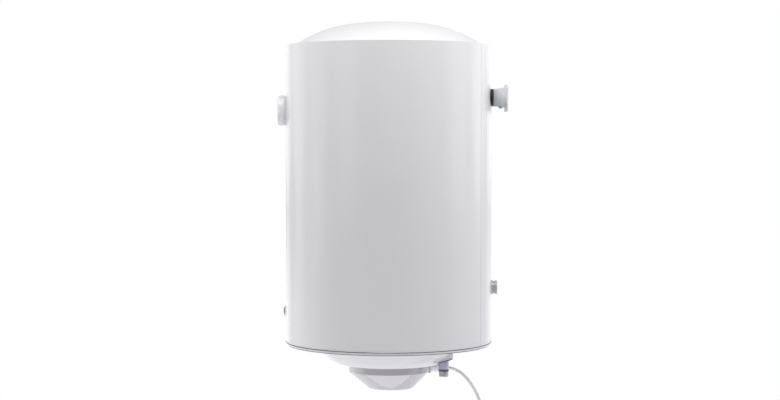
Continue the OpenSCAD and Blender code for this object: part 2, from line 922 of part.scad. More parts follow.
module lower_spacer() {
  color("gainsboro") facing_wall(spacer_z) difference() {
    union() {
      disc(spacer_r, casing_r - 4, casing_r + 5);
      disc(spacer_r - 2, casing_r + 5, casing_r + 8);
      disc(spacer_r, casing_r + 8, casing_r + spacer_out);
    }
    across_casing();
    disc(4, casing_r + spacer_out - 6, casing_r + spacer_out + 1);
  }
}

module thermometer_seal() {
  color("dimgray") facing_front(gauge_z) difference() {
    tube(bezel_r - 0.6, case_r + 0.2, casing_r - 6, seal_front);
    across_casing();
  }
}

module thermometer_case() {
  color("gray") facing_front(gauge_z) difference() {
    union() {
      disc(case_r, case_back, seal_front);
      disc(gauge_r, seal_front, seal_front + 3);
      disc(4, tank_r, case_back);
    }
    disc(case_r - 2, case_back + 2, seal_front + 4);
  }
}

module thermometer_bezel() {
  lip = 28;
  color("white") facing_front(gauge_z) rotate_extrude() polygon([
    [gauge_r + 0.1, seal_front], [bezel_r, seal_front], [bezel_r, bezel_front - 3.5],
    [bezel_r - 0.4, bezel_front - 1.6], [bezel_r - 1.4, bezel_front - 0.5], [bezel_r - 2.8, bezel_front],
    [lip + 0.5, bezel_front], [lip, bezel_front - 0.5], [lip, lens_back + 1.6],
    [gauge_r + 0.1, lens_back + 1.6]
  ]);
}

module thermometer_dial() {
  color("white") facing_front(gauge_z) {
    disc(gauge_r, seal_front + 3, dial_front);
    disc(pin_gauge_r, dial_front, dial_front + 4.5);
  }
}

module thermometer_pointer() {
  color("red") facing_front(gauge_z) difference() {
    union() {
      disc(3, dial_front + 1, dial_front + 3);
      rotate([0, 0, 120]) translate([-0.9, -7, dial_front + 1.4]) cube([1.8, 30, 1]);
    }
    disc(pin_gauge_r + run_gap, dial_front, dial_front + 5);
  }
}

module thermometer_lens() {
  color("lightcyan", 0.4) facing_front(gauge_z) disc(gauge_r, lens_back, lens_back + 1.6);
}

module lamp_holder() {
  color("whitesmoke") facing_front(lamp_z) difference() {
    union() {
      disc(lamp_r, lamp_back, casing_r + 1);
      difference() {
        disc(lamp_flange_r, casing_r - 3, casing_r + 3);
        across_casing();
      }
    }
    disc(lamp_r - 2, lamp_back + 8, casing_r + 4);
  }
}

module lamp_lens() {
  color("orange") facing_front(lamp_z) rotate_extrude() polygon(concat(
    [[0, casing_r - 4], [lamp_r - 2, casing_r - 4], [lamp_r - 2, casing_r + 3],
     [lamp_flange_r - 1, casing_r + 3]],
    [for (a = [0 : 15 : 90]) [(lamp_flange_r - 1.5) * cos(a), casing_r + 3.6 + 2.6 * sin(a)]]
  ));
}

outer_casing();
top_cap();
bottom_cap();
foam_insulation();
tank_shell();
tank_top_head();
tank_bottom_head();
flange_collar();
flange_gasket();
flange_plate();
flange_bolts();
flange_nuts();
heating_element();
element_fittings();
anode_rod();
anode_nut();
thermowell();
thermostat_probe();
thermostat_body();
reset_button();
thermostat_spindle();
temperature_knob();
terminal_bracket();
terminal_block();
internal_wiring();
earth_stud();
lamp_lead();
water_nipples();
inlet_diffuser();
outlet_pipe();
cold_sleeve();
hot_sleeve();
pipe_rings();
pipe_escutcheons();
service_cover();
cover_posts();
cover_screws();
gland_body();
gland_locknut();
gland_nut();
gland_seal();
cord_boot();
power_cord();
cord_coil();
cord_tail();
cord_tie();
plug_body();
plug_pins();
bracket_stem();
bracket_plate();
bracket_grommet();
lower_spacer();
thermometer_seal();
thermometer_case();
thermometer_bezel();
thermometer_dial();
thermometer_pointer();
thermometer_lens();
lamp_holder();
lamp_lens();
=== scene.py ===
import math

import bmesh
import bpy
from mathutils import Matrix, Vector


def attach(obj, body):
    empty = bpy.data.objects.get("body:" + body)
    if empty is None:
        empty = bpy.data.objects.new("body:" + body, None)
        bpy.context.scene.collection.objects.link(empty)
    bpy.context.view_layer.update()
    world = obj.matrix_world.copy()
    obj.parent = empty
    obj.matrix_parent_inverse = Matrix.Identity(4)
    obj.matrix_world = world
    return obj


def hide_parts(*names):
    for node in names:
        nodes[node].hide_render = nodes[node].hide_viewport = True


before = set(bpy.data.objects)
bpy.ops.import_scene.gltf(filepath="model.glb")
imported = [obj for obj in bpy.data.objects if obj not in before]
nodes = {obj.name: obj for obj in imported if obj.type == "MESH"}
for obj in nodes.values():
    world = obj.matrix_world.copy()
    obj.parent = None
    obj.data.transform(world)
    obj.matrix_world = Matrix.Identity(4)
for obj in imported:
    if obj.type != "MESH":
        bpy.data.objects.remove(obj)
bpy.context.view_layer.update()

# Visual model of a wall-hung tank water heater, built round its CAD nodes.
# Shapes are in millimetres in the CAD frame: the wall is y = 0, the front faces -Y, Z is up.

MM = 0.001
AXIS_Y = -259
CASING_R = 225
GLAND_Z = -592.5

# ---------------------------------------------------------------- camera
camera_data = bpy.data.cameras.new("Camera")
camera_data.lens = 75.7
camera_data.sensor_width = 36
camera_data.clip_end = 60
camera = bpy.data.objects.new("Camera", camera_data)
camera.location = (3.6, -0.256, -0.110)
CAMERA_DIP = 1.8
camera.rotation_euler = (math.radians(90 - CAMERA_DIP), 0, math.radians(90))
bpy.context.scene.collection.objects.link(camera)
bpy.context.scene.camera = camera


# ---------------------------------------------------------------- helpers
def link(obj, body="root", replaces=()):
    """Puts a piece in the scene, on its body and the CAD nodes that it stands for."""
    bpy.context.scene.collection.objects.link(obj)
    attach(obj, body)
    if replaces:
        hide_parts(*replaces)
    return obj


def smooth_shade(mesh, degrees=35):
    """Smooth faces, with edges sharper than the angle kept sharp."""
    for face in mesh.polygons:
        face.use_smooth = True
    mesh.set_sharp_from_angle(angle=math.radians(degrees))


def smoothstep(t):
    """0 to 1 with a soft start and end."""
    t = min(1.0, max(0.0, t))
    return t * t * (3 - 2 * t)


def mesh_object(name, vertices, faces, degrees=35):
    """A mesh piece from points in millimetres, with its normals facing out."""
    mesh = bpy.data.meshes.new(name)
    mesh.from_pydata([Vector(v) * MM for v in vertices], [], faces)
    form = bmesh.new()
    form.from_mesh(mesh)
    bmesh.ops.remove_doubles(form, verts=form.verts, dist=1e-7)
    bmesh.ops.recalc_face_normals(form, faces=form.faces)
    form.to_mesh(mesh)
    form.free()
    smooth_shade(mesh, degrees)
    return bpy.data.objects.new(name, mesh)


# Local axes (across, other, along) of a turned piece: its own Z runs up or to the wall
UP = (Vector((1, 0, 0)), Vector((0, 1, 0)), Vector((0, 0, 1)))
WALL = (Vector((1, 0, 0)), Vector((0, 0, -1)), Vector((0, 1, 0)))


def soften(profile, radius, steps=3):
    """The closed profile with its corners rounded."""
    rounded = []
    count = len(profile)
    for i in range(count):
        before, here, after = (Vector(profile[(i + k) % count]) for k in (-1, 0, 1))
        if here.x < 1e-6 or (before - here).angle(after - here, math.pi) > math.radians(170):
            rounded.append(tuple(here))
            continue
        reach = min(radius, 0.45 * (before - here).length, 0.45 * (after - here).length)
        start = here + (before - here).normalized() * reach
        end = here + (after - here).normalized() * reach
        for k in range(steps + 1):
            t = k / steps
            rounded.append(tuple(start * (1 - t) ** 2 + here * 2 * t * (1 - t) + end * t * t))
    return rounded


def lathe(name, profile, centre, axes=UP, steps=128, radius=0.0):
    """A closed profile of (radius, height) in millimetres, turned about an axis through centre.

    radius rounds the profile's corners.
    """
    if radius:
        profile = soften(profile, radius)
    centre = Vector(centre)
    across, other, along = axes
    count = len(profile)
    vertices, faces = [], []
    for k in range(steps):
        angle = math.tau * k / steps
        side = across * math.cos(angle) + other * math.sin(angle)
        vertices += [centre + side * r + along * h for r, h in profile]
    for k in range(steps):
        for i in range(count):
            j = (i + 1) % count
            if profile[i][0] < 1e-6 and profile[j][0] < 1e-6:
                continue
            a, b = k * count, ((k + 1) % steps) * count
            faces.append((a + i, b + i, b + j, a + j))
    return mesh_object(name, vertices, faces)


def ring_of(start, after, count):
    """Faces that join a loop of points to another, given the first index of each."""
    return [(start + i, start + (i + 1) % count, after + (i + 1) % count, after + i) for i in range(count)]


def block(name, size, centre, rounding):
    """A rounded box, centred, in millimetres."""
    form = bmesh.new()
    bmesh.ops.create_cube(form, size=1)
    bmesh.ops.scale(form, vec=Vector(size) * MM, verts=form.verts)
    bmesh.ops.translate(form, vec=Vector(centre) * MM, verts=form.verts)
    bmesh.ops.bevel(form, geom=form.edges[:], offset=rounding * MM, segments=3, affect="EDGES", profile=0.5)
    mesh = bpy.data.meshes.new(name)
    form.to_mesh(mesh)
    form.free()
    smooth_shade(mesh)
    return bpy.data.objects.new(name, mesh)


def smooth_path(points, steps):
    """The points of a smooth curve that passes through the given ones."""
    points = [Vector(p) for p in points]
    padded = [points[0] * 2 - points[1], *points, points[-1] * 2 - points[-2]]
    path = []
    for a, b, c, d in zip(padded, padded[1:], padded[2:], padded[3:]):
        for k in range(steps):
            t = k / steps
            path.append(b + (c - a) * (t / 2) + (a * 2 - b * 5 + c * 4 - d) * (t * t / 2)
                        + (b * 3 - a - c * 3 + d) * (t ** 3 / 2))
    return path + [points[-1]]


def tube(name, path, radius, sides=14):
    """A round mesh tube along a path in millimetres."""
    side = (path[1] - path[0]).orthogonal().normalized()
    vertices = []
    for i, place in enumerate(path):
        ahead = (path[min(i + 1, len(path) - 1)] - path[max(i - 1, 0)]).normalized()
        side = (side - ahead * side.dot(ahead)).normalized()
        other = ahead.cross(side)
        vertices += [place + side * radius * math.cos(math.tau * k / sides)
                     + other * radius * math.sin(math.tau * k / sides) for k in range(sides)]
    faces = [tuple(range(sides)), tuple(range(len(vertices) - sides, len(vertices)))]
    for i in range(len(path) - 1):
        faces += ring_of(i * sides, (i + 1) * sides, sides)
    return mesh_object(name, vertices, faces, 60)


# ---------------------------------------------------------------- mains lead
LEAD_RADIUS = 3.5
LEAD_ROUTE = [
    (0, -133, -592.5), (0, -128, -592.5), (0, -121, -593.8), (0, -112, -597), (0, -101, -603),
    (0, -90, -613), (0, -78, -627.5), (0, -69, -642), (0, -61, -659), (-1, -54.5, -677),
    (-2.5, -50, -696), (-4.5, -47, -715), (-6, -45.5, -734), (-7, -45, -750),
]
LEAD_TAIL = [(-15, -52, -774), (-16.5, -52, -783), (-17, -52, -790), (-17, -52, -794)]
COIL_CENTRE = (0, -87, -764)
OUTER_TURN, INNER_TURN = 42, 35
TURNS, TURN_POINTS = 5, 24
STEP_INWARD = (2.50, 0.45)
# Sideways steps of one lead's width, as (turns gone, turns taken, direction)
SIDEWAYS = [(0.72, 0.26, 1), (1.72, 0.26, 1), (3.45, 0.26, -1), (4.45, 0.26, -1), (4.70, 0.30, -1)]


def coil_points():
    """Three turns side by side, then two inside them, as points in millimetres."""
    points = []
    width = 2 * LEAD_RADIUS
    for step in range(TURNS * TURN_POINTS + 1):
        turns = step / TURN_POINTS
        inward = smoothstep((turns - STEP_INWARD[0]) / STEP_INWARD[1])
        radius = OUTER_TURN + (INNER_TURN - OUTER_TURN) * inward
        x = -width
        for gone, taken, direction in SIDEWAYS:
            x += direction * width * smoothstep((turns - gone) / taken)
        angle = turns * math.tau
        points.append((x, COIL_CENTRE[1] + radius * math.cos(angle), COIL_CENTRE[2] - radius * math.sin(angle)))
    return points


lead_path = smooth_path(LEAD_ROUTE + coil_points() + LEAD_TAIL, 4)
lead = link(tube("mains_lead", lead_path, LEAD_RADIUS, 20),
            replaces=["power_cord", "cord_coil", "cord_tail"])


# ---------------------------------------------------------------- materials
def tint(red, green, blue):
    """A linear colour from display values of 0 to 255."""
    values = [c / 255 for c in (red, green, blue)]
    return tuple(((v + 0.055) / 1.055) ** 2.4 if v > 0.0393 else v / 12.92 for v in values) + (1,)


def add(tree, kind, **values):
    """A new node, with its properties or input sockets set."""
    node = tree.nodes.new(kind)
    for name, value in values.items():
        if hasattr(node, name):
            setattr(node, name, value)
        else:
            node.inputs[name].default_value = value
    return node


def surface(name, metallic=0.0, coat=0.0, coat_rough=0.1, ior=1.5, transmission=0.0):
    """A new material with its shader's own sockets set, and the object's coordinates."""
    mat = bpy.data.materials.new(name)
    mat.use_nodes = True
    tree = mat.node_tree
    shader = tree.nodes["Principled BSDF"]
    shader.inputs["Metallic"].default_value = metallic
    shader.inputs["Coat Weight"].default_value = coat
    shader.inputs["Coat Roughness"].default_value = coat_rough
    shader.inputs["IOR"].default_value = ior
    shader.inputs["Transmission Weight"].default_value = transmission
    coords = add(tree, "ShaderNodeTexCoord").outputs["Object"]
    return mat, tree, shader, coords


def noise(tree, coords, scale, stretch=(1, 1, 1), detail=3.0, kind="noise"):
    """A noise or voronoi pattern over the object, as a value."""
    mapping = add(tree, "ShaderNodeMapping", Scale=stretch)
    tree.links.new(coords, mapping.inputs["Vector"])
    if kind == "voronoi":
        texture = add(tree, "ShaderNodeTexVoronoi", Scale=scale)
        tree.links.new(mapping.outputs[0], texture.inputs["Vector"])
        return texture.outputs["Distance"]
    texture = add(tree, "ShaderNodeTexNoise", Scale=scale, Detail=detail)
    tree.links.new(mapping.outputs[0], texture.inputs["Vector"])
    return texture.outputs["Fac"]


def between(tree, value, low, high, start=0.3, end=0.7):
    """value from start to end, spread over low to high."""
    node = add(tree, "ShaderNodeMapRange")
    for socket, number in zip(("From Min", "From Max", "To Min", "To Max"), (start, end, low, high)):
        node.inputs[socket].default_value = number
    tree.links.new(value, node.inputs["Value"])
    return node.outputs["Result"]


def ramp(tree, value, stops):
    """A colour from stops of (place, colour)."""
    node = add(tree, "ShaderNodeValToRGB")
    while len(node.color_ramp.elements) < len(stops):
        node.color_ramp.elements.new(0.5)
    for element, (place, colour) in zip(node.color_ramp.elements, stops):
        element.position = place
        element.color = colour
    tree.links.new(value, node.inputs["Fac"])
    return node.outputs["Color"]


def bumps(tree, shader, layers):
    """Adds bump layers of (height, strength, distance in millimetres)."""
    last = None
    for height, strength, distance in layers:
        node = add(tree, "ShaderNodeBump", Strength=strength, Distance=distance * MM)
        tree.links.new(height, node.inputs["Height"])
        if last:
            tree.links.new(last, node.inputs["Normal"])
        last = node.outputs["Normal"]
    tree.links.new(last, shader.inputs["Normal"])


def plain(name, dark, light, grain, rough, bump, stretch=(1, 1, 1), *, fine, kind="noise", **sockets):
    """A material whose colour and roughness wander between two ends, with fine relief.

    grain and fine are the scales of the colour's and the relief's patterns, and bump is the relief's
    strength and its depth in millimetres.
    """
    mat, tree, shader, coords = surface(name, **sockets)
    broad = noise(tree, coords, grain, stretch, kind=kind)
    small = noise(tree, coords, fine, stretch)
    tree.links.new(ramp(tree, broad, [(0.3, tint(*dark)), (0.7, tint(*light))]), shader.inputs["Base Color"])
    tree.links.new(between(tree, small, rough[0], rough[1]), shader.inputs["Roughness"])
    bumps(tree, shader, [(small, bump[0], bump[1])])
    return mat


def make_enamel(name, dark, light, rough, wave, coat):
    """Sprayed enamel on sheet: orange peel over the sheet's own long shallow waves."""
    mat, tree, shader, coords = surface(name, coat=coat, coat_rough=0.12)
    broad = noise(tree, coords, 5, (1, 1, 0.4))
    peel = noise(tree, coords, 420, detail=2)
    waves = noise(tree, coords, 16, (1, 1, 0.03), detail=1)
    tree.links.new(ramp(tree, broad, [(0.35, tint(*dark)), (0.65, tint(*light))]), shader.inputs["Base Color"])
    tree.links.new(between(tree, peel, rough - 0.03, rough + 0.04), shader.inputs["Roughness"])
    bumps(tree, shader, [(peel, 0.12, 0.12), (waves, 0.5, wave)])
    return mat


casing_enamel = make_enamel("casing_enamel", (229, 229, 232), (233, 233, 235), 0.30, 0.9, 0.25)
# The cap's enamel is a little lighter than the casing's: painted light for the dome, which faces up
cap_enamel_painted_light = make_enamel("cap_enamel_painted_light", (237, 237, 238), (240, 240, 241), 0.34, 0.2, 0.15)
dish_enamel = make_enamel("dish_enamel", (223, 223, 226), (229, 229, 232), 0.10, 0.1, 1.0)
moulded_white = plain("moulded_white", (246, 246, 247), (251, 251, 252), 40, (0.25, 0.38), (0.15, 0.05),
                      fine=900)
cover_plastic = plain("cover_plastic", (192, 190, 195), (198, 196, 200), 12, (0.1, 0.16), (0.2, 0.04),
                      fine=1400, coat=1.0)
gland_nylon = plain("gland_nylon", (243, 242, 250), (249, 248, 253), 90, (0.3, 0.42), (0.15, 0.05), fine=1200)
lead_sheath = plain("lead_sheath", (229, 229, 227), (238, 238, 236), 60, (0.42, 0.58), (0.08, 0.02), fine=1600)
plug_plastic = plain("plug_plastic", (203, 205, 205), (214, 216, 216), 50, (0.4, 0.52), (0.1, 0.03), fine=1500)
black_rubber = plain("black_rubber", (9, 10, 14), (18, 19, 24), 120, (0.5, 0.7), (0.35, 0.08), fine=1800)
grey_rubber = plain("grey_rubber", (88, 87, 98), (108, 107, 118), 120, (0.5, 0.7), (0.3, 0.08), fine=1800)
seal_rubber = plain("seal_rubber", (226, 226, 228), (238, 238, 240), 120, (0.5, 0.65), (0.3, 0.06), fine=1800)
tie_nylon = plain("tie_nylon", (24, 24, 26), (40, 40, 43), 200, (0.35, 0.5), (0.2, 0.05), fine=2000)
sleeve_blue = plain("sleeve_blue", (186, 187, 206), (203, 203, 219), 90, (0.35, 0.5), (0.2, 0.05), fine=1400)
sleeve_red = plain("sleeve_red", (178, 62, 58), (200, 82, 76), 90, (0.35, 0.5), (0.2, 0.05), fine=1400)
disc_grey = plain("disc_grey", (96, 98, 122), (118, 120, 144), 80, (0.3, 0.45), (0.2, 0.05), fine=1300)
plate_coat = plain("plate_coat", (247, 247, 248), (252, 252, 252), 30, (0.34, 0.44), (0.3, 0.12), fine=700)
zinc = plain("zinc", (146, 150, 156), (190, 193, 198), 300, (0.22, 0.42), (0.25, 0.05), kind="voronoi",
             fine=900, metallic=1.0)
nickel = plain("nickel", (190, 191, 195), (214, 215, 219), 60, (0.2, 0.36), (0.2, 0.04), (1, 1, 0.2),
               fine=900, metallic=1.0)
brass = plain("brass", (182, 142, 70), (212, 172, 96), 120, (0.25, 0.4), (0.25, 0.05), fine=900, metallic=1.0)
sheath_steel = plain("sheath_steel", (70, 70, 74), (104, 100, 98), 60, (0.4, 0.6), (0.4, 0.08), fine=700,
                     metallic=1.0)
magnesium = plain("magnesium", (150, 150, 150), (182, 182, 180), 90, (0.55, 0.75), (0.6, 0.25), fine=260,
                  metallic=0.8)
tank_enamel = plain("tank_enamel", (34, 52, 78), (52, 74, 104), 25, (0.18, 0.32), (0.35, 0.2), fine=300,
                    coat=0.4)
foam = plain("foam", (206, 188, 120), (232, 218, 156), 60, (0.85, 0.98), (0.8, 0.6), kind="voronoi", fine=340)
dark_plastic = plain("dark_plastic", (28, 30, 32), (42, 44, 47), 70, (0.4, 0.55), (0.3, 0.06), fine=1400)
ivory_plastic = plain("ivory_plastic", (222, 216, 194), (234, 229, 210), 80, (0.35, 0.5), (0.25, 0.06),
                      fine=1300)
knob_plastic = plain("knob_plastic", (150, 152, 160), (166, 168, 176), 60, (0.36, 0.5), (0.3, 0.06), fine=1300)
button_red = plain("button_red", (176, 26, 20), (200, 38, 30), 150, (0.25, 0.4), (0.2, 0.05), fine=1500)
pointer_red = plain("pointer_red", (186, 30, 22), (206, 44, 32), 150, (0.35, 0.5), (0.2, 0.04), fine=1500)
print_black = plain("print_black", (26, 26, 28), (38, 38, 40), 150, (0.5, 0.65), (0.1, 0.02), fine=1500)
smoked_lens = plain("smoked_lens", (150, 146, 146), (176, 172, 172), 90, (0.08, 0.16), (0.1, 0.05), fine=600,
                    transmission=0.55, ior=1.49)
clear_lens = plain("clear_lens", (244, 247, 248), (250, 252, 252), 40, (0.02, 0.06), (0.05, 0.03), fine=500)
clear_tree = clear_lens.node_tree
glint = add(clear_tree, "ShaderNodeFresnel", IOR=1.45)
clear_tree.links.new(between(clear_tree, glint.outputs[0], 0.07, 0.9, 0.0, 1.0),
                     clear_tree.nodes["Principled BSDF"].inputs["Alpha"])
core_brown = plain("core_brown", (104, 58, 34), (124, 74, 46), 120, (0.35, 0.5), (0.2, 0.05), fine=1500)
core_blue = plain("core_blue", (40, 84, 160), (56, 104, 182), 120, (0.35, 0.5), (0.2, 0.05), fine=1500)


def make_earth_core():
    """Insulation in green and yellow."""
    mat, tree, shader, coords = surface("core_earth")
    bands = noise(tree, coords, 260, detail=0)
    speck = noise(tree, coords, 1500)
    colours = [(0.46, tint(60, 140, 60)), (0.52, tint(214, 196, 40))]
    tree.links.new(ramp(tree, bands, colours), shader.inputs["Base Color"])
    tree.links.new(between(tree, speck, 0.35, 0.5), shader.inputs["Roughness"])
    bumps(tree, shader, [(speck, 0.2, 0.05)])
    return mat


def make_stem_painted_shade():
    """Thin zinc paint with painted shade: darker towards the stem's lower inner end, lighter towards its top
    and wall end, under a faint random cloud.
    """
    mat, tree, shader, coords = surface("stem_coat_painted_shade", coat=0.2)
    # Painted shade: a slope in object space that lightens towards the top and the wall end, as if lit from
    # there
    along = add(tree, "ShaderNodeVectorMath", operation="DOT_PRODUCT")
    along.inputs[1].default_value = (0, 0.7, 1)
    tree.links.new(coords, along.inputs[0])
    shade_and_cloud = add(tree, "ShaderNodeMath", operation="MULTIPLY_ADD")
    tree.links.new(noise(tree, coords, 60), shade_and_cloud.inputs[0])
    shade_and_cloud.inputs[1].default_value = 0.016
    tree.links.new(along.outputs["Value"], shade_and_cloud.inputs[2])
    grain = noise(tree, coords, 700)
    # The painted shade's ramp, from the shaded lower end to the lit top
    painted_shade = between(tree, shade_and_cloud.outputs[0], 0.0, 1.0, -0.016, 0.010)
    colours = [(0.0, tint(196, 199, 206)), (0.55, tint(222, 222, 228)), (1.0, tint(246, 245, 248))]
    tree.links.new(ramp(tree, painted_shade, colours), shader.inputs["Base Color"])
    tree.links.new(between(tree, grain, 0.28, 0.42), shader.inputs["Roughness"])
    bumps(tree, shader, [(grain, 0.3, 0.12)])
    return mat


GAUGE_Z = -27


def make_dial():
    """A white printed face, with a band from blue to red round the scale."""
    mat, tree, shader, coords = surface("dial_print")
    split = add(tree, "ShaderNodeSeparateXYZ")
    tree.links.new(coords, split.inputs[0])

    def maths(operation, first, second):
        node = add(tree, "ShaderNodeMath", operation=operation)
        for socket, value in zip(node.inputs, (first, second)):
            if isinstance(value, (int, float)):
                socket.default_value = value
            else:
                tree.links.new(value, socket)
        return node.outputs[0]

    x = split.outputs["X"]
    z = maths("ADD", split.outputs["Z"], -GAUGE_Z * MM)
    radius = maths("SQRT", maths("ADD", maths("MULTIPLY", x, x), maths("MULTIPLY", z, z)), 0)
    turn = maths("ARCTAN2", x, z)
    band_inner, band_outer, band_end = 0.0126, 0.0144, 2.1
    band = maths("MULTIPLY", maths("GREATER_THAN", radius, band_inner), maths("LESS_THAN", radius, band_outer))
    band = maths("MULTIPLY", band, maths("LESS_THAN", maths("ABSOLUTE", turn, 0), band_end))
    warm = ramp(tree, between(tree, turn, 0, 1, -band_end, band_end),
                [(0.0, tint(52, 104, 190)), (0.45, tint(196, 170, 190)), (1.0, tint(206, 40, 32))])
    paper = ramp(tree, noise(tree, coords, 300), [(0.3, tint(242, 242, 240)), (0.7, tint(248, 248, 247))])
    mix = add(tree, "ShaderNodeMix", data_type="RGBA")
    tree.links.new(band, mix.inputs["Factor"])
    tree.links.new(paper, mix.inputs[6])
    tree.links.new(warm, mix.inputs[7])
    tree.links.new(mix.outputs[2], shader.inputs["Base Color"])
    tree.links.new(between(tree, noise(tree, coords, 900), 0.4, 0.5), shader.inputs["Roughness"])
    return mat


core_earth = make_earth_core()
stem_coat_painted_shade = make_stem_painted_shade()
dial_print = make_dial()

FINISHES = {
    casing_enamel: ["outer_casing"],
    cap_enamel_painted_light: ["top_cap"],
    dish_enamel: ["bottom_cap"],
    foam: ["foam_insulation"],
    tank_enamel: ["tank_shell", "tank_top_head", "tank_bottom_head", "flange_collar"],
    black_rubber: ["flange_gasket", "gland_seal", "bracket_grommet"],
    grey_rubber: ["pipe_rings"],
    zinc: ["flange_plate", "flange_bolts", "flange_nuts", "anode_nut", "terminal_bracket", "cover_screws"],
    nickel: ["thermowell", "thermostat_probe", "thermostat_spindle", "outlet_pipe", "plug_pins"],
    sheath_steel: ["heating_element"],
    brass: ["element_fittings", "earth_stud", "cover_posts"],
    magnesium: ["anode_rod"],
    dark_plastic: ["thermostat_body"],
    button_red: ["reset_button"],
    knob_plastic: ["temperature_knob", "thermometer_case"],
    ivory_plastic: ["terminal_block", "inlet_diffuser"],
    core_brown: ["lamp_lead"],
    sleeve_blue: ["cold_sleeve"],
    sleeve_red: ["hot_sleeve"],
    disc_grey: ["pipe_escutcheons"],
    cover_plastic: ["service_cover", "lower_spacer"],
    gland_nylon: ["gland_body", "gland_locknut", "gland_nut"],
    stem_coat_painted_shade: ["bracket_stem"],
    plate_coat: ["bracket_plate"],
    seal_rubber: ["thermometer_seal"],
    moulded_white: ["thermometer_bezel", "lamp_holder"],
    dial_print: ["thermometer_dial"],
    pointer_red: ["thermometer_pointer"],
    clear_lens: ["thermometer_lens"],
    smoked_lens: ["lamp_lens"],
}


def dress(obj, material):
    """Gives a piece or a CAD node its one material."""
    obj.data.materials.clear()
    obj.data.materials.append(material)
    return obj


for material, names in FINISHES.items():
    for name in names:
        dress(nodes[name], material)
dress(lead, lead_sheath)

# ---------------------------------------------------------------- top cap
CROWN_R, CROWN_H, CROWN_POWER, CASING_TOP = 206, 51, 2.86, 114
LEDGE_Z = CASING_TOP - 1.4
CAP_T = 1.6
SKIRT_R, SKIRT_LOW = 223.8, LEDGE_Z - 14
OUTER_POINTS, INNER_POINTS = 56, 40


def crown(r):
    """Height of the cap's crown at a radius."""
    return CASING_TOP + CROWN_H * (1 - (r / CROWN_R) ** CROWN_POWER)


cap_profile = [(CROWN_R * i / OUTER_POINTS, crown(CROWN_R * i / OUTER_POINTS)) for i in range(OUTER_POINTS)]
cap_profile += [(CROWN_R - 0.2, CASING_TOP + 0.3), (CROWN_R + 0.6, LEDGE_Z + 0.25), (CROWN_R + 2.2, LEDGE_Z)]
cap_profile += [(SKIRT_R - 1.2, LEDGE_Z), (SKIRT_R - 0.2, LEDGE_Z - 0.4), (SKIRT_R, LEDGE_Z - 1.4)]
cap_profile += [(SKIRT_R, SKIRT_LOW), (SKIRT_R - CAP_T, SKIRT_LOW), (SKIRT_R - CAP_T, LEDGE_Z - CAP_T)]
cap_profile += [(CROWN_R, LEDGE_Z - CAP_T)]
for i in reversed(range(INNER_POINTS)):
    part = i / INNER_POINTS
    cap_profile.append(((CROWN_R - 1) * part, crown(CROWN_R * part) - CAP_T))
top_cap = link(lathe("domed_top", cap_profile, (0, AXIS_Y, 0), steps=192),
               replaces=["top_cap"])
dress(top_cap, cap_enamel_painted_light)

# ---------------------------------------------------------------- water nipples
NIPPLE_X, NIPPLE_Y = 50, AXIS_Y + 119.5
PITCH, MAJOR_R, MINOR_R = 1.814, 10.48, 9.35
NIPPLE_LOW, THREAD_TOP, NIPPLE_TOP = -605, -594.5, -490
PIPE_R, BORE_R = 10.65, 7.5


def threaded_nipple(name, x, seat=None):
    """A pipe with a helical thread on its lower end. seat is the (radius, height) of a wider bore above."""
    sides, rows = 72, 48
    vertices, loops = [], []

    def loop(radius_at, z):
        start = len(vertices)
        for k in range(sides):
            angle = math.tau * k / sides
            r = radius_at(k / sides)
            vertices.append((x + r * math.cos(angle), NIPPLE_Y + r * math.sin(angle), z))
        loops.append(start)

    loop(lambda part: BORE_R, NIPPLE_LOW)
    for row in range(rows + 1):
        z = NIPPLE_LOW + (THREAD_TOP - 0.6 - NIPPLE_LOW) * row / rows
        entry = min(1, (row + 1) / 7)
        fade = min(1, (rows - row) / 4)

        def radius_at(part, z=z, entry=entry, fade=fade):
            phase = ((z - NIPPLE_LOW) / PITCH - part) % 1
            crest = min(1, max(0, 1.35 * (1 - abs(2 * phase - 1)) - 0.1))
            return MINOR_R + (MAJOR_R - MINOR_R) * crest * entry * fade

        loop(radius_at, z)
    loop(lambda part: MINOR_R + 0.2, THREAD_TOP - 0.4)
    loop(lambda part: PIPE_R - 0.2, THREAD_TOP)
    loop(lambda part: PIPE_R, THREAD_TOP + 0.3)
    loop(lambda part: PIPE_R, NIPPLE_TOP)
    if seat:
        loop(lambda part: seat[0], NIPPLE_TOP)
        loop(lambda part: seat[0], seat[1])
        loop(lambda part: BORE_R, seat[1])
    else:
        loop(lambda part: BORE_R, NIPPLE_TOP)
    faces = []
    for a, b in zip(loops, loops[1:] + loops[:1]):
        faces += ring_of(a, b, sides)
    return mesh_object(name, vertices, faces, 50)


for name, x, seat in (("cold_nipple", NIPPLE_X, None), ("hot_nipple", -NIPPLE_X, (8.0, -540))):
    nipple = link(threaded_nipple(name, x, seat), replaces=["water_nipples"])
    dress(nipple, nickel)

# ---------------------------------------------------------------- strain relief
# Heights are distances from the heater's axis towards the wall
RIBS, RIB_PITCH, RIB_TAPER = 6, 2.6, 0.27
BOOT_BORE, BOOT_START, BOOT_END = 3.55, 104, 126
RIBS_START = BOOT_START + 5
boot_profile = [(BOOT_BORE, BOOT_START), (7.4, BOOT_START), (7.4, BOOT_START + 1.4), (6.4, BOOT_START + 1.4),
                (6.4, RIBS_START)]
for rib in range(RIBS):
    low = RIBS_START + rib * RIB_PITCH
    outer = 6.3 - rib * RIB_TAPER
    boot_profile += [(outer - 0.9, low + 0.3), (outer - 0.9, low + 1.0), (outer, low + 1.3), (outer, low + 2.4)]
boot_profile += [(4.4, BOOT_END - 0.8), (4.2, BOOT_END), (BOOT_BORE, BOOT_END)]
boot = link(lathe("strain_relief", boot_profile, (0, AXIS_Y, GLAND_Z), WALL, 48, 0.25),
            replaces=["cord_boot"])
dress(boot, gland_nylon)

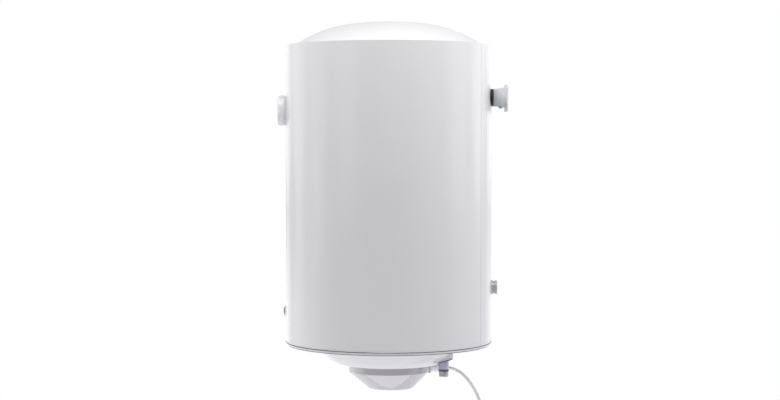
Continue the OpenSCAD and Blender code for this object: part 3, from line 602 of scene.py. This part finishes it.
# ---------------------------------------------------------------- plug and tie
PLUG_X, PLUG_Y, PLUG_TOP = -17, -52, -794
GRIP_RINGS, GRIP_PITCH, GRIP_TAPER = 5, 3.6, 0.28
plug_profile = [(0, 0), (4.3, 0)]
for ring in range(GRIP_RINGS):
    inner, outer, top = 4.6 + ring * GRIP_TAPER, 5.2 + ring * GRIP_TAPER, -ring * GRIP_PITCH
    plug_profile += [(inner, top - 1.5), (outer, top - 2.1), (outer, top - 4.0), (inner, top - 4.6)]
plug_profile += [(6.4, -20), (10.5, -23.5), (16.8, -31.5), (18.3, -35), (18.5, -44), (17.9, -45), (17.9, -46.4),
                 (18.5, -47.4), (18.5, -58.6), (17.3, -60), (0, -60)]
plug = link(lathe("plug_shell", plug_profile, (PLUG_X, PLUG_Y, PLUG_TOP), steps=72, radius=0.5),
            replaces=["plug_body"])
dress(plug, plug_plastic)
for name, side in (("plug_clip_a", 1), ("plug_clip_b", -1)):
    clip = link(block(name, (1.2, 5, 15), (PLUG_X + side * 18.4, PLUG_Y, PLUG_TOP - 53), 0.3))
    dress(clip, nickel)

# Where the coil's turns pass the tie, as (x, radius)
TIE_TURNS = [(-7, 42), (0, 42), (7, 42), (7, 35), (0, 35)]
TIE_ANGLE, CIRCLE_POINTS, HEAD_R = 144, 24, 47.8


def hull_of(points):
    """The convex outline of flat points, anticlockwise."""
    points = sorted(set((round(a, 4), round(b, 4)) for a, b in points))

    def half(seq):
        kept = []
        for p in seq:
            while len(kept) > 1 and ((kept[-1][0] - kept[-2][0]) * (p[1] - kept[-2][1])
                                     - (kept[-1][1] - kept[-2][1]) * (p[0] - kept[-2][0])) <= 0:
                kept.pop()
            kept.append(p)
        return kept

    return half(points)[:-1] + half(points[::-1])[:-1]


def tie_loop(gap):
    """The outline round the bundle's turns at the tie, as (x, radius), gap outside the lead."""
    reach = LEAD_RADIUS + gap
    angles = [a * math.tau / CIRCLE_POINTS for a in range(CIRCLE_POINTS)]
    return hull_of([(x + reach * math.cos(a), r + reach * math.sin(a)) for x, r in TIE_TURNS for a in angles])


def strap():
    """A band 8 mm wide round the coil's bundle, with its outward and lengthwise directions."""
    angle = math.radians(TIE_ANGLE)
    outward = Vector((0, math.cos(angle), -math.sin(angle)))
    along = Vector((0, math.sin(angle), math.cos(angle)))
    inner, outer = tie_loop(0.15), tie_loop(1.25)
    count = min(len(inner), len(outer))
    vertices, faces = [], []
    rows = [(inner, -4), (outer, -4), (outer, -1.4), (outer, 1.4), (outer, 4), (inner, 4)]
    for outline, shift in rows:
        for i in range(count):
            x, r = outline[i * len(outline) // count]
            vertices.append(Vector(COIL_CENTRE) + Vector((x, 0, 0)) + outward * r + along * shift)
    for row in range(len(rows)):
        faces += ring_of(row * count, (row + 1) % len(rows) * count, count)
    return mesh_object("lead_tie", vertices, faces, 40), outward, along


tie, tie_out, tie_along = strap()
tie = dress(link(tie, replaces=["cord_tie"]), tie_nylon)
head = block("tie_head", (5.5, 4.6, 6), (0, 0, 0), 0.7)
place = Vector(COIL_CENTRE) + tie_out * HEAD_R
head.matrix_world = Matrix.Translation(place * MM) @ Matrix(
    (Vector((1, 0, 0)), tie_out, tie_along)).transposed().to_4x4()
head = dress(link(head), tie_nylon)

# ---------------------------------------------------------------- casing's lower edge and seam
# The rolled bead of the casing's lower edge, between two joints whose crease shade is painted on as thin dark
# grey rings
hem_profile = [(224.6, -534.1), (225.5, -534.6), (225.7, -535.5), (225.4, -536.6), (224.4, -537.2),
               (221.5, -537.2), (221.5, -534.1)]
hem = link(lathe("casing_hem", hem_profile, (0, AXIS_Y, 0), steps=192, radius=0.3))
dress(hem, dish_enamel)
# Painted shade: dark grey rings just above and below the bead stand in for the shade in its creases
for name, high, low, reach in (("painted_shade_above_hem", -531.6, -533.4, 225.9), ("painted_shade_below_hem", -537.2, -538.8, 222.8)):
    ring = [(reach - 2, high), (reach, high), (reach, low), (reach - 2, low)]
    dress(link(lathe(name, ring, (0, AXIS_Y, 0), steps=192)), grey_rubber)

# A folded lock seam down the casing, as (along the casing's surface, rise above it)
seam_profile = [(-5, -0.5), (-4.6, 0.35), (-3.2, 0.7), (3.4, 0.75), (4.4, 0.4), (4.7, -0.5)]
SEAM_ANGLE = 62


def seam():
    """The seam's raised strip down the casing, from its top to its lower edge."""
    angle = math.radians(SEAM_ANGLE)
    outward = Vector((math.cos(angle), math.sin(angle), 0))
    side = Vector((-math.sin(angle), math.cos(angle), 0))
    vertices, faces = [], []
    levels = (-529.5, -529, 110, 110.6)
    for level, lift in zip(levels, (-0.5, 0, 0, -0.5)):
        for along, rise in seam_profile:
            sag = CASING_R - math.sqrt(CASING_R ** 2 - along ** 2)
            vertices.append(Vector((0, AXIS_Y, level)) + outward * (CASING_R + rise + lift - sag)
                            + side * along)
    count = len(seam_profile)
    for row in range(len(levels) - 1):
        faces += ring_of(row * count, (row + 1) * count, count)
    faces += [tuple(range(count)), tuple(range(len(vertices) - count, len(vertices)))]
    return mesh_object("casing_seam", vertices, faces, 25)


dress(link(seam()), casing_enamel)

# ---------------------------------------------------------------- inner wiring
AXIS = Vector((0, AXIS_Y, 0))
WIRE_R = 1.3


def wire(name, material, points, radius=WIRE_R):
    """A wire through points in millimetres from the heater's axis."""
    piece = tube(name, smooth_path([Vector(p) + AXIS for p in points], 6), radius)
    return dress(link(piece, replaces=["internal_wiring"]), material)


for name, material, side in (("core_live", core_brown, 1), ("core_neutral", core_blue, -1)):
    wire(name + "_block", material,
         [(10 * side, 2, GLAND_Z), (10 * side, 19, GLAND_Z), (10 * side, 36, GLAND_Z)])
    wire(name + "_element", material, [
        (side * 21, -8, -582), (side * 23, -8, -582), (side * 26, -6, -582.5), (side * 29, -1, -583.5),
        (side * 28, 8, -583.5), (side * 28, 12, -580.5), (side * 28, 12, -576)])
    wire(name + "_lead", material, [
        (side * 2.3, 60.5, GLAND_Z), (side * 3, 58.5, GLAND_Z), (side * 7, 56.6, GLAND_Z),
        (side * 8, 55.2, GLAND_Z), (side * 8, 54, GLAND_Z)], 1.0)
wire("core_earth_lead", core_earth, [(0, 60.5, GLAND_Z), (0, 57, GLAND_Z), (0, 54, GLAND_Z)], 1.0)
wire("core_earth_stud", core_earth, [
    (-3, 36, -597), (-3, 34.5, -597), (-5, 32, -597), (-16, 27, -597.5), (-25, 14, -597), (-27.5, -10, -594),
    (-27, -30, -590), (-22, -42, -585), (-15.5, -46.6, -580.5), (-14, -47, -577.5), (-14, -47, -575)])
wire("lead_in_gland", lead_sheath, [(0, 60, GLAND_Z), (0, 90, GLAND_Z), (0, 126, GLAND_Z)], LEAD_RADIUS)

# ---------------------------------------------------------------- thermometer's print
DIAL_FRONT = CASING_R + 8
SCALE_START, TICK_STEP, TICKS, LONG_EVERY = -120, 5, 49, 8
TICK_OUTER, LONG_INNER, SHORT_INNER = 25.8, 22.2, 23.8


def on_dial(turn, radius, lift=0.0):
    """A place on the dial, turn in degrees clockwise from its top."""
    angle = math.radians(turn)
    return Vector((radius * math.sin(angle), AXIS_Y - DIAL_FRONT - lift, GAUGE_Z + radius * math.cos(angle)))


def dial_ticks():
    """The scale's long and short marks, printed just proud of the dial."""
    vertices, faces = [], []
    for i in range(TICKS):
        turn = SCALE_START + i * TICK_STEP
        long_tick = i % LONG_EVERY == 0
        inner = LONG_INNER if long_tick else SHORT_INNER
        wide = math.degrees((0.42 if long_tick else 0.22) / 24)
        start = len(vertices)
        for lift in (-0.02, 0.12):
            vertices += [on_dial(turn - wide, inner, lift), on_dial(turn + wide, inner, lift),
                         on_dial(turn + wide, TICK_OUTER, lift), on_dial(turn - wide, TICK_OUTER, lift)]
        faces += [tuple(start + k for k in quad) for quad in
                  ((0, 1, 2, 3), (4, 5, 6, 7), (0, 1, 5, 4), (1, 2, 6, 5), (2, 3, 7, 6), (3, 0, 4, 7))]
    return mesh_object("dial_ticks", vertices, faces)


NUMBER_R = 18.6
dress(link(dial_ticks()), print_black)
for i, words in enumerate(("0", "20", "40", "60", "80", "100", "120")):
    text = bpy.data.curves.new("dial_number_" + words, "FONT")
    text.body = words
    text.size = 4.4 * MM
    text.align_x, text.align_y = "CENTER", "CENTER"
    text.extrude = 0.06 * MM
    number = bpy.data.objects.new("dial_number_" + words, text)
    number.location = on_dial(SCALE_START + i * LONG_EVERY * TICK_STEP, NUMBER_R, 0.06) * MM
    number.rotation_euler = (math.radians(90), 0, 0)
    dress(link(number), print_black)

# ---------------------------------------------------------------- floor and light
# A white studio that is open on one side: floor and world glow all round except in the sector that faces +X
FLOOR_RADIUS, FLOOR_Z = 14, -1.45
NEAR_GLOW, FAR_GLOW, DARK_GLOW = 0.5, 0.7, 0.05
GLOW_START, GLOW_END = 1.6, 2.4
WORLD_DARK, WORLD_WHITE = 0.1, 0.6
OPEN_SIDE = (0.988, -0.156, 0)


def white_side(tree, vector):
    """0 in the open sector, 1 in the white part of the studio."""
    flat = add(tree, "ShaderNodeVectorMath", operation="MULTIPLY")
    flat.inputs[1].default_value = (1, 1, 0)
    tree.links.new(vector, flat.inputs[0])
    unit = add(tree, "ShaderNodeVectorMath", operation="NORMALIZE")
    tree.links.new(flat.outputs[0], unit.inputs[0])
    facing = add(tree, "ShaderNodeVectorMath", operation="DOT_PRODUCT")
    facing.inputs[1].default_value = OPEN_SIDE
    tree.links.new(unit.outputs[0], facing.inputs[0])
    return between(tree, facing.outputs["Value"], 0.0, 1.0, 0.40, 0.24)


def white_to_camera(tree, shader, output):
    """The surface looks pure white, whatever light it gives."""
    white = add(tree, "ShaderNodeEmission" if output == "Material Output" else "ShaderNodeBackground")
    white.inputs["Color"].default_value = (1, 1, 1, 1)
    choose = add(tree, "ShaderNodeMixShader")
    tree.links.new(add(tree, "ShaderNodeLightPath").outputs["Is Camera Ray"], choose.inputs[0])
    tree.links.new(shader.outputs[0], choose.inputs[1])
    tree.links.new(white.outputs[0], choose.inputs[2])
    tree.links.new(choose.outputs[0], tree.nodes[output].inputs["Surface"])


form = bmesh.new()
bmesh.ops.create_circle(form, cap_ends=True, radius=FLOOR_RADIUS, segments=96)
bmesh.ops.reverse_faces(form, faces=[face for face in form.faces if face.normal.z < 0])
floor_mesh = bpy.data.meshes.new("floor")
form.to_mesh(floor_mesh)
form.free()
floor = bpy.data.objects.new("floor", floor_mesh)
floor.location = (0, 0, FLOOR_Z)
bpy.context.scene.collection.objects.link(floor)
floor_mat, tree, shader, coords = surface("pale_floor")
tree.links.new(ramp(tree, noise(tree, coords, 3), [(0.3, tint(186, 186, 188)), (0.7, tint(190, 190, 192))]),
               shader.inputs["Base Color"])
shader.inputs["Roughness"].default_value = 0.8
shader.inputs["Emission Color"].default_value = (0.965, 0.955, 1.0, 1)
far_out = add(tree, "ShaderNodeVectorMath", operation="LENGTH")
tree.links.new(coords, far_out.inputs[0])
glow = add(tree, "ShaderNodeMix")
tree.links.new(between(tree, far_out.outputs["Value"], 0.0, 1.0, GLOW_START, GLOW_END), glow.inputs["Factor"])
glow.inputs["A"].default_value = NEAR_GLOW
tree.links.new(between(tree, white_side(tree, coords), DARK_GLOW, FAR_GLOW, 0.0, 1.0), glow.inputs["B"])
tree.links.new(glow.outputs["Result"], shader.inputs["Emission Strength"])
white_to_camera(tree, shader, "Material Output")
# Clear when seen from underneath, so that the heater's underside can be looked at
see_through = add(tree, "ShaderNodeMixShader")
tree.links.new(add(tree, "ShaderNodeNewGeometry").outputs["Backfacing"], see_through.inputs[0])
tree.links.new(tree.nodes["Material Output"].inputs["Surface"].links[0].from_socket, see_through.inputs[1])
tree.links.new(add(tree, "ShaderNodeBsdfTransparent").outputs[0], see_through.inputs[2])
tree.links.new(see_through.outputs[0], tree.nodes["Material Output"].inputs["Surface"])
dress(floor, floor_mat)

world = bpy.data.worlds.new("World")
bpy.context.scene.world = world
world.use_nodes = True
tree = world.node_tree
studio = tree.nodes["Background"]
studio.inputs["Color"].default_value = (1, 1, 1, 1)
direction = add(tree, "ShaderNodeTexCoord").outputs["Generated"]
split = add(tree, "ShaderNodeSeparateXYZ")
tree.links.new(direction, split.inputs[0])
low_down = between(tree, split.outputs["Z"], 1.0, 0.0, 0.25, 0.7)
level = add(tree, "ShaderNodeMath", operation="MULTIPLY")
tree.links.new(white_side(tree, direction), level.inputs[0])
tree.links.new(low_down, level.inputs[1])
tree.links.new(between(tree, level.outputs[0], WORLD_DARK, WORLD_WHITE, 0.0, 1.0), studio.inputs["Strength"])
white_to_camera(tree, studio, "World Output")
bpy.context.scene.view_settings.view_transform = "Standard"

# (azimuth, elevation, distance, size, power) of each softbox, azimuth from the camera's side
SOFTBOXES = [
    (-150, -18, 2.8, 1.5, 4.0), (-115, -18, 2.8, 1.5, 4.5), (-80, -18, 2.8, 1.5, 3.0),
    (150, -18, 2.8, 1.5, 3.0), (-150, 12, 2.8, 1.5, 5.0), (-115, 12, 2.8, 1.5, 6.5),
    (-80, 12, 2.8, 1.5, 5.5), (-45, 12, 2.8, 1.5, 5.2), (0, 55, 1.5, 0.7, 4.6),
    (45, 12, 2.8, 1.5, 4.5), (80, 12, 2.8, 1.5, 8.0), (115, 12, 2.8, 1.5, 9.0),
    (150, 12, 2.8, 1.5, 5.0), (-45, 45, 2.8, 1.5, 16.0), (45, 45, 2.8, 1.5, 14.0),
    (80, 45, 2.8, 1.5, 7.0), (0, 70, 2.4, 1.2, 10.0), (0, 90, 2.2, 2.0, 5.0),
    (-12, -68, 1.2, 0.6, 1.6),
]
MIDDLE = Vector((0, AXIS_Y * MM, -0.2))
for azimuth, elevation, distance, size, power in SOFTBOXES:
    data = bpy.data.lights.new("softbox", "AREA")
    data.shape = "DISK"
    data.size = size
    data.energy = power
    box = bpy.data.objects.new("softbox", data)
    turn, lift = math.radians(azimuth), math.radians(elevation)
    away = Vector((math.cos(lift) * math.cos(turn), math.cos(lift) * math.sin(turn), math.sin(lift)))
    box.location = MIDDLE + away * distance
    box.rotation_euler = away.to_track_quat("Z", "Y").to_euler()
    box.visible_camera = False
    bpy.context.scene.collection.objects.link(box)
